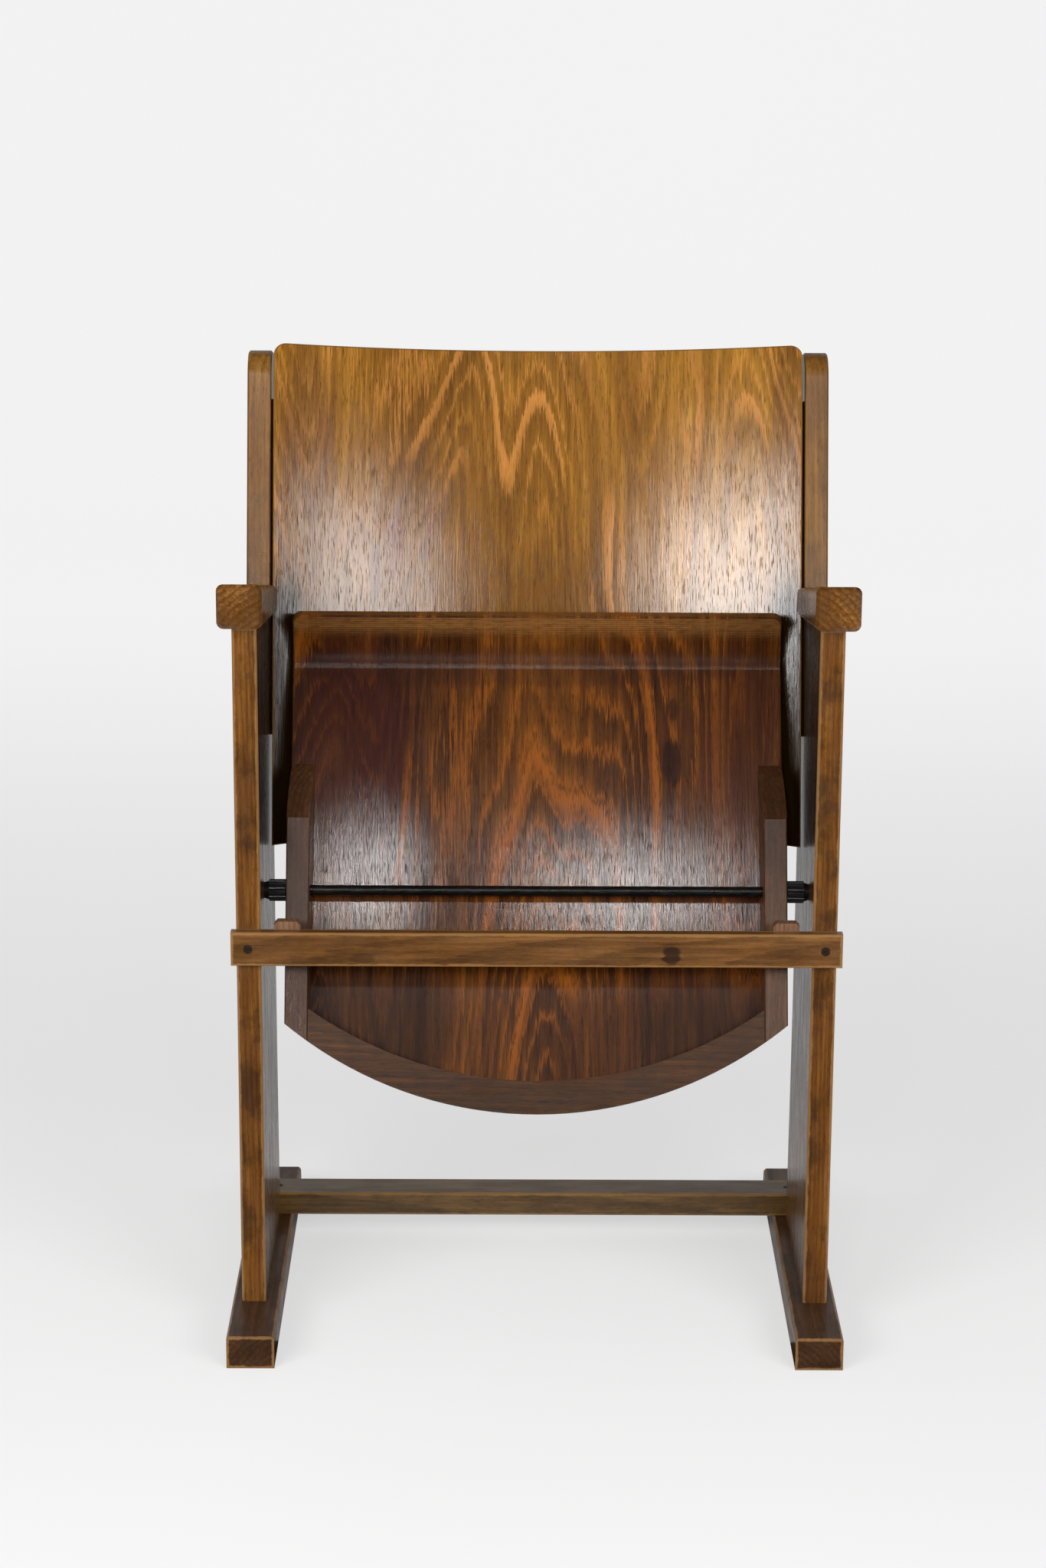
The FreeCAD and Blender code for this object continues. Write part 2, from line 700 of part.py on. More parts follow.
dowels = []
for dowel_y in (post_front + front_post_depth / 2, board_split + wide_board_depth / 2):
    dowel_base = arm_base_at(dowel_y) - dowel_length / 2
    dowels.append(peg(dowel_diameter / 2, dowel_length, V(side_middle, dowel_y, dowel_base)))
armrest = drill(armrest, dowels)
front_post = drill(front_post, dowels)
side_boards = Part.Compound([solid.cut(Part.Compound(dowels)) for solid in side_boards.Solids])

back_place = back_frame()
cleat_top = (post_top_height - lean_start) / math.cos(lean) - cleat_drop


def cleat_points(shares, x, y):
    """Points along the cleat, as shares of its length from the top."""
    return [back_place.multVec(V(x, y, cleat_top - cleat_length * share)) for share in shares]


back_screws, back_holes = screw_set(
    back_screw_length, cleat_points((0.1, 0.5, 0.9), side_inner - cleat_width / 2, cleat_depth),
    back_place.Rotation.multVec(V(0, -1, 0)), 0.0)
cleat_screws, cleat_holes = screw_set(
    cleat_screw_length, cleat_points((0.3, 0.7), side_inner - cleat_width, cleat_depth * 0.8), V(1, 0, 0), 25.0)
cleat = drill(cleat, back_holes + cleat_holes)
back_post = drill(back_post, cleat_holes)
back_sheet = drill(back_sheet, with_mirror(back_holes))

rail = make_seat_rail()
rear_rail = make_rear_rail()
seat_sheet = make_seat_sheet()

seat_points = []
for share in seat_screw_shares:
    reach = share * seat_front_reach
    x = rail_inner_at(underside_at(reach)) + rail_thickness / 2
    foot_point = V(x, -reach, underside_at(reach))
    seat_points.append(foot_point + V(0, math.sin(wedge), math.cos(wedge)) * seat_sheet_thickness)
sheet_down = V(0, -math.sin(wedge), -math.cos(wedge))
seat_screws, seat_holes = screw_set(seat_screw_length, seat_points, sheet_down, 50.0)
rail = drill(rail, seat_holes)
seat_sheet = drill(seat_sheet, with_mirror(seat_holes))

bore = Part.makeCylinder(axle_diameter / 2 + axle_bore_clearance, 4 * seat_half_width, V(-2 * seat_half_width, 0, 0),
                         V(1, 0, 0))
rail = rail.cut(bore)
axle_half = side_inner + bush_spigot_length - axle_end_gap
axle = rod(axle_diameter / 2, -axle_half, axle_half)
bush = make_bush()
socket = rod(bush_spigot_diameter / 2 + bush_spigot_clearance, side_inner - bush_end_clearance,
             side_inner + bush_spigot_length + bush_end_clearance)
side_boards = Part.Compound([solid.cut(socket) for solid in side_boards.Solids])

both("foot", foot, parts)
both("front_post", front_post, parts)
both("side_boards", side_boards, parts)
both("back_post", back_post, parts)
both("armrest", armrest, parts)
parts["stretcher"] = stretcher
parts["front_slat"] = slat
both("landing_block", block, parts)
parts["backrest_sheet"] = back_sheet
both("backrest_cleat", cleat, parts)
both("bearing_bush", bush, parts)
parts["pivot_axle"] = axle
both("seat_rail", seat_up(rail), parts)
parts["seat_rear_rail"] = seat_up(rear_rail)
parts["seat_sheet"] = seat_up(seat_sheet)
parts["slat_screws"] = Part.Compound(with_mirror(slat_screws))
parts["stretcher_screws"] = Part.Compound(with_mirror(stretcher_screws))
parts["foot_screws"] = Part.Compound(with_mirror(foot_screws))
parts["block_screws"] = Part.Compound(with_mirror(block_screws))
parts["armrest_screws"] = Part.Compound(with_mirror(arm_screws))
parts["armrest_dowels"] = Part.Compound(with_mirror(dowels))
parts["backrest_screws"] = Part.Compound(with_mirror(back_screws))
parts["cleat_screws"] = Part.Compound(with_mirror(cleat_screws))
parts["seat_screws"] = Part.Compound([seat_up(s) for s in with_mirror(seat_screws)])

os.makedirs("parts", exist_ok=True)
for name, shape in parts.items():
    shape.exportStep("parts/" + name + ".step")
    box_of = shape.BoundBox
    print(name, len(shape.Solids), "valid" if shape.isValid() else "INVALID", round(shape.Volume),
          [round(v, 1) for v in (box_of.XMin, box_of.XMax, box_of.YMin, box_of.YMax, box_of.ZMin, box_of.ZMax)])
print("seat turn", round(seat_turn, 3), "travel", round(seat_turn - landing_rake(), 3))
print("axle", round(axle_y, 3), axle_height)
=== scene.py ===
import bmesh
import bpy
import json
import math
from mathutils import Matrix, Vector


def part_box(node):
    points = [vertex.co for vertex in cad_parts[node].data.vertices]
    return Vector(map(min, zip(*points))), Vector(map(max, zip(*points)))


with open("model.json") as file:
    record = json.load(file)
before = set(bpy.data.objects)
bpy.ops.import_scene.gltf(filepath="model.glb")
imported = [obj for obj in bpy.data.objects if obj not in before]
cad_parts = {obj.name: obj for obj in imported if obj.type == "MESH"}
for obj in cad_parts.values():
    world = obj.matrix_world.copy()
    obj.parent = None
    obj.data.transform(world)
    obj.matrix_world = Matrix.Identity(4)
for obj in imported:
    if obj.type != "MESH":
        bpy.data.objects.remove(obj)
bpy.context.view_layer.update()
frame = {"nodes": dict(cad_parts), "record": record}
nodes = frame["nodes"]

# Local frames of the leaning pieces: places in metres, turns in radians, in the row frame
AXLE = Vector(frame["record"]["behaviour"]["joints"][0]["pos_m"])
SHEET_LEAN = math.radians(25.9)
BACK_ORIGIN = (0, 0.033, 0.5685)
BACK_LEAN = math.radians(15.0)
ARM_ORIGIN = (0, -0.13, 0.66)
ARM_SLOPE = math.radians(-12.0)
MM_PER_M = 1000.0

# Back sheet, in millimetres: its inner radius and how far its axis lies in front, from width and hollow
BACK_HALF_WIDTH = 236.0
BACK_HOLLOW = 55.0
BACK_SETBACK = 0.6
BACK_RADIUS = (BACK_HALF_WIDTH ** 2 + BACK_HOLLOW ** 2) / (2 * BACK_HOLLOW)
BACK_AXIS = BACK_RADIUS - BACK_HOLLOW - BACK_SETBACK

# Inner faces of the side frames, in millimetres from the middle, and the height span of the painted shade on
# them
INNER_FACE = 238.0
INNER_SHADE_LOW = 340.0
INNER_SHADE_HIGH = 470.0
# Strip along the back sheet's sides with painted shade where the tipped up seat shades it, in millimetres
# from the middle
SHADE_STRIP_FROM = 204.0
SHADE_STRIP_TO = 219.0
SHADE_STRIP_FADE = 60.0
# One layer of the plywood, and how far solid wood's rings wander and fray, in millimetres
PLY_THICKNESS = 1.55
RING_WOBBLE = 22.0
RING_JAG = 2.2
# Worn spots on black metal are lighter than it by this factor
RUBBED = 1.8

FRAME_TONES = ((52, 28, 8), (90, 52, 15), (126, 82, 32))
DARK_TONES = ((40, 22, 10), (66, 40, 20), (98, 68, 38))


def srgb(r, g, b):
    """Linear colour with alpha from 0 to 255 display values."""
    def lin(v):
        v = v / 255
        return v / 12.92 if v <= 0.04045 else ((v + 0.055) / 1.055) ** 2.4
    return (lin(r), lin(g), lin(b), 1.0)


def darker(colour, share):
    """Linear colour without alpha, scaled down."""
    return tuple(c * share for c in colour[:3])


WEAR_TONE = srgb(150, 110, 66)
GRIME_TONE = srgb(38, 24, 14)
# Painted shade for the inner faces of the side frames
INNER_SHADE_TONE = srgb(18, 9, 4)
KNOT_TONE = srgb(34, 20, 12)
PURPLE_TONE = srgb(44, 18, 14)
# Painted shade for the back sheet's side strips behind the seat
SHADE_STRIP_TONE = srgb(20, 10, 5)
PLY_DARK = srgb(58, 34, 16)
PLY_LIGHT = srgb(128, 88, 46)


class Graph:
    """Short names for building one material's nodes."""

    def __init__(self, name):
        self.mat = bpy.data.materials.new(name)
        self.mat.use_nodes = True
        self.tree = self.mat.node_tree
        self.tree.nodes.clear()
        self.out = self.tree.nodes.new("ShaderNodeOutputMaterial")

    def put(self, value, socket):
        if hasattr(value, "is_output"):
            self.tree.links.new(value, socket)
        else:
            if socket.type == "RGBA" and len(value) == 3:
                value = (*value, 1.0)
            socket.default_value = value

    def node(self, kind, **settings):
        n = self.tree.nodes.new("ShaderNode" + kind)
        for key, value in settings.items():
            setattr(n, key, value)
        return n

    def math(self, op, *values):
        n = self.node("Math", operation=op)
        for value, socket in zip(values, n.inputs):
            self.put(value, socket)
        return n.outputs[0]

    def add(self, a, b):
        return self.math("ADD", a, b)

    def sub(self, a, b):
        return self.math("SUBTRACT", a, b)

    def mul(self, a, b):
        return self.math("MULTIPLY", a, b)

    def vec(self, op, a, b=None):
        n = self.node("VectorMath", operation=op)
        self.put(a, n.inputs[0])
        if b is not None:
            self.put(b, n.inputs["Scale"] if op == "SCALE" else n.inputs[1])
        return n.outputs["Value"] if op in ("LENGTH", "DOT_PRODUCT") else n.outputs[0]

    def split(self, vector):
        n = self.node("SeparateXYZ")
        self.put(vector, n.inputs[0])
        return n.outputs

    def join(self, x, y, z):
        n = self.node("CombineXYZ")
        for value, socket in zip((x, y, z), n.inputs):
            self.put(value, socket)
        return n.outputs[0]

    def object_mm(self):
        """Object coordinates in millimetres."""
        return self.vec("SCALE", self.node("TexCoord").outputs["Object"], MM_PER_M)

    def about_x(self, vector, turn):
        """A vector turned about X."""
        n = self.node("VectorRotate", rotation_type="X_AXIS")
        self.put(vector, n.inputs["Vector"])
        self.put(turn, n.inputs["Angle"])
        return n.outputs[0]

    def noise(self, vector, scale, detail=2.0, rough=0.5, distortion=0.0, seed=0.0):
        """Noise value around 0.5, with one scale per axis and an offset as its seed."""
        stretched = self.vec("MULTIPLY", vector, scale)
        shifted = self.vec("ADD", stretched, (seed * 1.7 + 0.3, seed * 3.1 + 0.7, seed * 2.3 + 1.9))
        n = self.node("TexNoise")
        self.put(shifted, n.inputs["Vector"])
        self.put(1.0, n.inputs["Scale"])
        self.put(detail, n.inputs["Detail"])
        self.put(rough, n.inputs["Roughness"])
        self.put(distortion, n.inputs["Distortion"])
        return n.outputs[0]

    def swing(self, vector, scale, detail, rough, seed):
        """Noise value around zero."""
        return self.sub(self.noise(vector, scale, detail, rough, seed=seed), 0.5)

    def span(self, value, low, high, to_low=0.0, to_high=1.0):
        """Value mapped smoothly from one range to another and held inside it."""
        n = self.node("MapRange", interpolation_type="SMOOTHSTEP")
        for socket, v in zip(("Value", "From Min", "From Max", "To Min", "To Max"),
                             (value, low, high, to_low, to_high)):
            self.put(v, n.inputs[socket])
        return n.outputs[0]

    def mix(self, factor, a, b):
        n = self.node("Mix", data_type="RGBA", blend_type="MIX")
        self.put(factor, n.inputs[0])
        self.put(a, n.inputs[6])
        self.put(b, n.inputs[7])
        return n.outputs[2]

    def ramp(self, factor, stops):
        n = self.node("ValToRGB")
        ramp = n.color_ramp
        while len(ramp.elements) < len(stops):
            ramp.elements.new(0.5)
        for element, (position, colour) in zip(ramp.elements, stops):
            element.position = position
            element.color = colour
        self.put(factor, n.inputs[0])
        return n.outputs[0]

    def bump(self, height, strength, distance, normal=None):
        n = self.node("Bump")
        self.put(strength, n.inputs["Strength"])
        self.put(distance, n.inputs["Distance"])
        self.put(height, n.inputs["Height"])
        if normal is not None:
            self.put(normal, n.inputs["Normal"])
        return n.outputs[0]

    def edge_distance(self, vector, low, high):
        """Distance to the nearest long edge of a box, from the two nearest of its faces."""
        below = self.split(self.vec("SUBTRACT", vector, low))
        above = self.split(self.vec("SUBTRACT", high, vector))
        x, y, z = (self.math("MINIMUM", below[i], above[i]) for i in range(3))
        near = self.math("MINIMUM", x, y)
        far = self.math("MAXIMUM", x, y)
        return self.math("MAXIMUM", near, self.math("MINIMUM", far, z))

    def shader(self, colour, roughness, normal, coat_normal, **fixed):
        n = self.node("BsdfPrincipled")
        self.put(colour, n.inputs["Base Color"])
        self.put(roughness, n.inputs["Roughness"])
        self.put(normal, n.inputs["Normal"])
        self.put(coat_normal, n.inputs["Coat Normal"])
        for key, value in fixed.items():
            self.put(value, n.inputs[key.replace("_", " ")])
        self.tree.links.new(n.outputs[0], self.out.inputs[0])
        return self.mat


def grain_space(g, where=(0, 0, 0), turn=0.0, grain="Z"):
    """Coordinates in millimetres from a place, turned about X, with the grain along Z."""
    moved = g.vec("SUBTRACT", g.node("TexCoord").outputs["Object"], where)
    local = g.vec("SCALE", g.about_x(moved, turn), MM_PER_M)
    if grain == "Z":
        return local
    x, y, z = g.split(local)
    return g.join(z, y, x) if grain == "X" else g.join(x, z, y)


def spot(g, x, z, where, ragged, amount, outer=1.15, inner=0.75):
    """Ragged oval mask: centre x, centre z and two half sizes, in millimetres on the sheet."""
    cx, cz, rx, rz = where
    dx = g.math("DIVIDE", g.sub(x, cx), rx)
    dz = g.math("DIVIDE", g.sub(z, cz), rz)
    away = g.add(g.vec("LENGTH", g.join(dx, 0.0, dz)), ragged)
    return g.span(away, outer, inner, 0.0, amount)


def late_wood(g, p, seed, ring, pith, slope):
    """Mask of the growth rings' dark side, about a pith beside the board."""
    x, y, z = g.split(p)
    wobble = g.mul(g.swing(p, (0.012, 0.012, 0.0035), 2.0, 0.5, seed), RING_WOBBLE)
    across = g.add(g.sub(x, pith[0]), wobble)
    through = g.add(g.add(y, pith[1]), g.mul(z, slope))
    radius = g.vec("LENGTH", g.join(across, through, 0.0))
    jag = g.mul(g.swing(p, (0.5, 0.5, 0.02), 3.0, 0.5, seed + 3), RING_JAG)
    phase = g.math("FRACT", g.math("DIVIDE", g.add(radius, jag), ring))
    return g.mul(g.span(phase, 0.25, 0.97), g.span(phase, 1.0, 0.96))


def inner_painted_shade(g, base):
    """Painted shade on the faces that look at the seat, stronger higher up."""
    x, _, z = g.split(g.object_mm())
    face = g.span(g.math("ABSOLUTE", x), INNER_FACE + 0.9, INNER_FACE + 0.3)
    high = g.span(z, INNER_SHADE_LOW, INNER_SHADE_HIGH, 0.25, 0.93)
    return g.mix(g.mul(face, high), base, INNER_SHADE_TONE)


def worn_edges(g, p, base, box, seed):
    """Varnish rubbed off along the long edges of a board's box."""
    edge = g.edge_distance(g.object_mm(), *box)
    ragged = g.mul(g.noise(p, (0.12, 0.12, 0.05), 4.0, 0.7, seed=seed), 4.4)
    return g.mix(g.span(g.sub(edge, ragged), -0.9, 0.6, 0.55, 0.0), base, WEAR_TONE)


def beech(name, seed, tones, grain="Z", where=(0, 0, 0), turn=0.0, ring=6.0, pith=(20.0, 60.0), slope=0.05,
          line=0.5, gloss=0.3, coat=0.5, dirt=0.25, wear=None, inside=False, knots=()):
    """Brown stained beech: growth rings, rays, pores, dirt and varnish, with painted shade on the inner
    faces. Grain runs along local Z.
    """
    g = Graph(name)
    p = grain_space(g, where, turn, grain)
    x, _, z = g.split(p)
    dark, mid, light = (srgb(*t) for t in tones)
    tone = g.noise(p, (0.02, 0.02, 0.004), 3.0, seed=seed + 7)
    streak = g.noise(p, (0.35, 0.35, 0.012), 4.0, 0.6, seed=seed + 11)
    fibre = g.noise(p, (2.4, 2.4, 0.09), 3.0, 0.65, seed=seed + 17)
    base = g.ramp(g.add(g.mul(tone, 0.55), g.mul(streak, 0.45)), [(0.32, dark), (0.5, mid), (0.68, light)])
    base = g.mix(g.mul(late_wood(g, p, seed, ring, pith, slope), line), base, darker(dark, 0.5))
    base = g.mix(g.span(fibre, 0.35, 0.75, 0.0, 0.32), base, light)
    pores = g.span(g.noise(p, (1.1, 1.1, 0.16), 1.0, seed=seed + 23), 0.62, 0.74, 0.0, 0.5)
    base = g.mix(pores, base, darker(dark, 0.35))
    grime = g.span(g.noise(p, (0.03, 0.03, 0.02), 4.0, 0.7, seed=seed + 29), 0.46, 0.66, 0.0, dirt)
    base = g.mix(grime, base, GRIME_TONE)
    # Painted shade on the inner faces, where the seat and backrest shade them
    if inside:
        base = inner_painted_shade(g, base)
    for knot in knots:
        ragged = g.mul(g.sub(streak, 0.5), 1.2)
        base = g.mix(spot(g, x, z, knot[:4], ragged, knot[4]), base, KNOT_TONE)
    if wear is not None:
        base = worn_edges(g, p, base, wear, seed + 37)
    rough = g.noise(p, (0.06, 0.06, 0.02), 3.0, seed=seed + 31)
    rough = g.span(rough, 0.3, 0.7, gloss - 0.06, gloss + 0.12)
    height = g.sub(g.add(g.mul(fibre, 0.6), g.mul(streak, 0.5)), g.mul(pores, 0.5))
    return g.shader(base, rough, g.bump(height, 0.28, 0.0006), g.bump(height, 0.1, 0.0006),
                    Coat_Weight=coat, Coat_Roughness=0.14, Specular_IOR_Level=0.18)


def ply_edges(g, p, colour, turn, curved, mid, seed):
    """Shows the plywood's layers where the surface faces sideways to the sheet."""
    x, y, _ = g.split(p)
    facing = g.node("VectorTransform", vector_type="NORMAL", convert_from="WORLD", convert_to="OBJECT")
    g.put(g.node("NewGeometry").outputs["Normal"], facing.inputs[0])
    local = g.about_x(facing.outputs[0], turn)
    if curved:
        spoke = g.join(x, g.add(y, BACK_AXIS), 0.0)
        through = g.sub(g.vec("LENGTH", spoke), BACK_RADIUS)
        flatness = g.math("ABSOLUTE", g.vec("DOT_PRODUCT", g.vec("NORMALIZE", spoke), local))
    else:
        through = y
        flatness = g.math("ABSOLUTE", g.split(local)[1])
    drift = g.mul(g.noise(p, (0.03, 0.5, 0.03), 2.0, seed=seed + 51), 0.35)
    band = g.math("FRACT", g.add(g.mul(through, 1.0 / PLY_THICKNESS), drift))
    layer = g.mul(g.span(band, 0.0, 0.16), g.span(band, 1.0, 0.85))
    side = g.mix(layer, PLY_DARK, PLY_LIGHT)
    stain = g.span(g.noise(p, (0.1, 0.6, 0.1), 4.0, 0.7, seed=seed + 53), 0.4, 0.7, 0.0, 0.6)
    side = g.mix(stain, side, mid)
    return g.mix(g.mul(g.span(flatness, 0.86, 0.62), 0.85), colour, side)


def varnish_gleams(g, x, z, ragged, fleck, coat, gleams):
    """Coat weight that is strong only in worn bright patches, and weaker in the pores."""
    varnish = coat * 0.12
    for gleam in gleams:
        varnish = g.add(varnish, spot(g, x, z, gleam[:4], ragged, gleam[4], 1.35, 0.1))
    varnish = g.math("MINIMUM", varnish, 1.0)
    return g.mul(varnish, g.span(fleck, 0.0, 0.6, 1.0, 0.25))


def veneer(name, seed, where, turn, tones, pale, deep, lines, flames, coat, gleams, marks, curved=False,
           purple=0.0, warp=0.5, shade_strip_below=None, figure=0.42):
    """Rotary cut plywood: fine contour lines and bolder flames of one slow field, pores, worn varnish, and
    painted shade on side strips low down.
    """
    g = Graph(name)
    p = grain_space(g, where, turn)
    x, _, z = g.split(p)
    flat = g.join(x, 0.0, z)
    dark, mid, light = (srgb(*t) for t in tones)
    pale = srgb(*pale)
    deep = srgb(*deep)

    field = g.noise(flat, (0.0075, 1.0, 0.00095), 1.6, 0.42, 0.4, seed=seed)
    field = g.add(field, g.mul(z, 0.0003))
    flame = g.swing(flat, (0.5, 1.0, 0.02), 3.0, 0.6, seed + 3)
    comb = g.swing(flat, (2.4, 1.0, 0.06), 2.0, 0.6, seed + 5)
    fine = g.add(g.add(g.mul(field, lines), g.mul(flame, 1.3)), g.mul(comb, 0.5))
    fine = g.math("FRACT", fine)
    thin = g.mul(g.span(fine, 0.3, 0.85), g.span(fine, 1.0, 0.9))
    after = g.mul(g.span(fine, 0.0, 0.12), g.span(fine, 0.3, 0.12))
    bold = g.add(g.add(g.mul(field, flames), g.mul(flame, 0.2)), g.mul(comb, 0.1))
    bold = g.math("FRACT", bold)
    rim = g.mul(g.span(bold, 0.82, 0.94), g.span(bold, 1.0, 0.975))
    body = g.span(bold, 0.1, 0.9)
    choose = g.span(g.noise(flat, (0.011, 1.0, 0.004), 2.0, seed=seed + 8), 0.42, 0.6)

    tone = g.noise(flat, (0.007, 1.0, 0.0028), 3.0, 0.5, seed=seed + 7)
    streak = g.noise(flat, (0.2, 1.0, 0.005), 4.0, 0.62, seed=seed + 11)
    fibre = g.noise(flat, (1.7, 1.0, 0.045), 3.0, 0.65, seed=seed + 17)
    colour = g.ramp(g.add(g.mul(tone, 0.55), g.mul(streak, 0.45)), [(0.36, dark), (0.5, mid), (0.64, light)])
    colour = g.mix(g.mul(body, 0.35), colour, deep)
    if purple:
        side = g.span(g.math("ABSOLUTE", x), 80.0, 205.0)
        blot = g.span(g.noise(flat, (0.014, 1.0, 0.006), 3.0, 0.6, seed=seed + 41), 0.38, 0.58)
        colour = g.mix(g.mul(g.mul(side, blot), purple), colour, PURPLE_TONE)
    colour = g.mix(g.mul(thin, figure), colour, deep)
    colour = g.mix(g.mul(after, g.span(choose, 0.0, 1.0, 0.08, 0.5)), colour, pale)
    colour = g.mix(g.mul(rim, g.span(choose, 0.0, 1.0, 0.1, 0.68)), colour, pale)
    colour = g.mix(g.span(fibre, 0.42, 0.78, 0.0, 0.3), colour, light)
    fleck = g.span(g.noise(flat, (1.4, 1.0, 0.09), 1.5, 0.55, seed=seed + 23), 0.58, 0.7, 0.0, 0.6)
    colour = g.mix(fleck, colour, darker(deep, 0.45))

    ragged = g.mul(g.add(flame, comb), 0.9)
    for cx, cz, rx, rz, tint, amount in marks:
        colour = g.mix(spot(g, x, z, (cx, cz, rx, rz), ragged, amount), colour, srgb(*tint))
    # Painted shade on the back sheet's side strips below a height, where the tipped up seat shades them
    if shade_strip_below is not None:
        strip = g.span(g.math("ABSOLUTE", x), SHADE_STRIP_FROM, SHADE_STRIP_TO, 0.0, 0.92)
        level = g.add(z, g.mul(ragged, 12.0))
        level = g.span(level, shade_strip_below, shade_strip_below - SHADE_STRIP_FADE)
        colour = g.mix(g.mul(strip, level), colour, SHADE_STRIP_TONE)
    colour = ply_edges(g, p, colour, turn, curved, mid, seed)

    rough = g.span(g.noise(flat, (0.03, 1.0, 0.012), 3.0, seed=seed + 31), 0.3, 0.7, 0.25, 0.4)
    varnish = varnish_gleams(g, x, z, ragged, fleck, coat, gleams)
    ripple = g.noise(flat, (0.8, 1.0, 0.03), 3.0, 0.6, seed=seed + 61)
    height = g.sub(g.add(ripple, g.mul(fibre, 0.5)), g.mul(fleck, 0.7))
    curve = g.bump(g.noise(flat, (0.02, 1.0, 0.006), 2.0, seed=seed + 67), warp, 0.002)
    return g.shader(colour, rough, g.bump(height, 0.5, 0.0006, curve), g.bump(height, 0.24, 0.0006, curve),
                    Coat_Weight=varnish, Coat_Roughness=0.13, Specular_IOR_Level=0.05)


def metal(name, colour, rough, metallic, seed, scale=(0.05, 0.4, 0.4), rust=None):
    """Dark worn metal with faint scratches and spots."""
    g = Graph(name)
    p = grain_space(g)
    spots = g.noise(p, scale, 4.0, 0.7, seed=seed)
    worn = rust or [c * RUBBED for c in colour]
    tint = g.mix(g.span(spots, 0.45, 0.7), srgb(*colour), srgb(*worn))
    scratches = g.noise(p, tuple(s * 3 for s in scale), 3.0, seed=seed + 2)
    gloss = g.span(scratches, 0.3, 0.7, rough - 0.08, rough + 0.15)
    normal = g.bump(spots, 0.25, 0.0004)
    return g.shader(tint, gloss, normal, normal, Metallic=metallic)


def mm_box(name):
    """Low and high corner of a node's box, in millimetres."""
    low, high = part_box(name)
    return tuple(v * MM_PER_M for v in low), tuple(v * MM_PER_M for v in high)


def use(name, material):
    mesh = nodes[name].data
    mesh.materials.clear()
    mesh.materials.append(material)


def dress_side(side, sign, shift):
    """Materials of the pieces that come in a left and a right one, with their own seeds."""
    use("front_post_" + side, beech(
        "post_wood_" + side, 1 + shift, FRAME_TONES, ring=4.0, pith=(sign * 60, 90), slope=0.03, line=0.35,
        wear=mm_box("front_post_" + side), inside=True, dirt=0.6))
    use("side_boards_" + side, beech(
        "board_wood_" + side, 4 + shift, FRAME_TONES, ring=9.0, pith=(sign * 150, 20), slope=0.02, line=0.4,
        inside=True))
    use("back_post_" + side, beech(
        "back_post_wood_" + side, 7 + shift, ((74, 46, 14), (112, 74, 26), (148, 106, 48)), where=BACK_ORIGIN,
        turn=BACK_LEAN, ring=5.0, pith=(sign * 40, 70), line=0.35, inside=True))
    use("foot_" + side, beech(
        "foot_wood_" + side, 11 + shift, DARK_TONES, grain="Y", ring=5.0, pith=(sign * 200, 40), slope=0.02,
        gloss=0.42, coat=0.3, wear=mm_box("foot_" + side), dirt=0.5))
    use("armrest_" + side, beech(
        "arm_wood_" + side, 14 + shift, ((52, 28, 9), (90, 54, 18), (146, 100, 46)), grain="Y",
        where=ARM_ORIGIN, turn=ARM_SLOPE, ring=5.5, pith=(sign * 215, 40), slope=0.02, line=0.55, gloss=0.24,
        coat=0.7))
    use("landing_block_" + side, beech(
        "block_wood_" + side, 17 + shift, ((86, 58, 40), (112, 80, 58), (140, 106, 80)), ring=4.0, gloss=0.45,
        coat=0.2))
    use("seat_rail_" + side, beech(
        "rail_wood_" + side, 21 + shift, ((42, 22, 12), (70, 42, 24), (102, 70, 44)), where=tuple(AXLE),
        turn=SHEET_LEAN, ring=4.5, pith=(sign * 150, 30), slope=0.03, line=0.4, coat=0.35))
    use("backrest_cleat_" + side, beech("cleat_wood_" + side, 24 + shift, DARK_TONES))
    use("bearing_bush_" + side, metal(
        "bush_black_" + side, (13, 13, 14), 0.35, 0.0, 2 + shift))


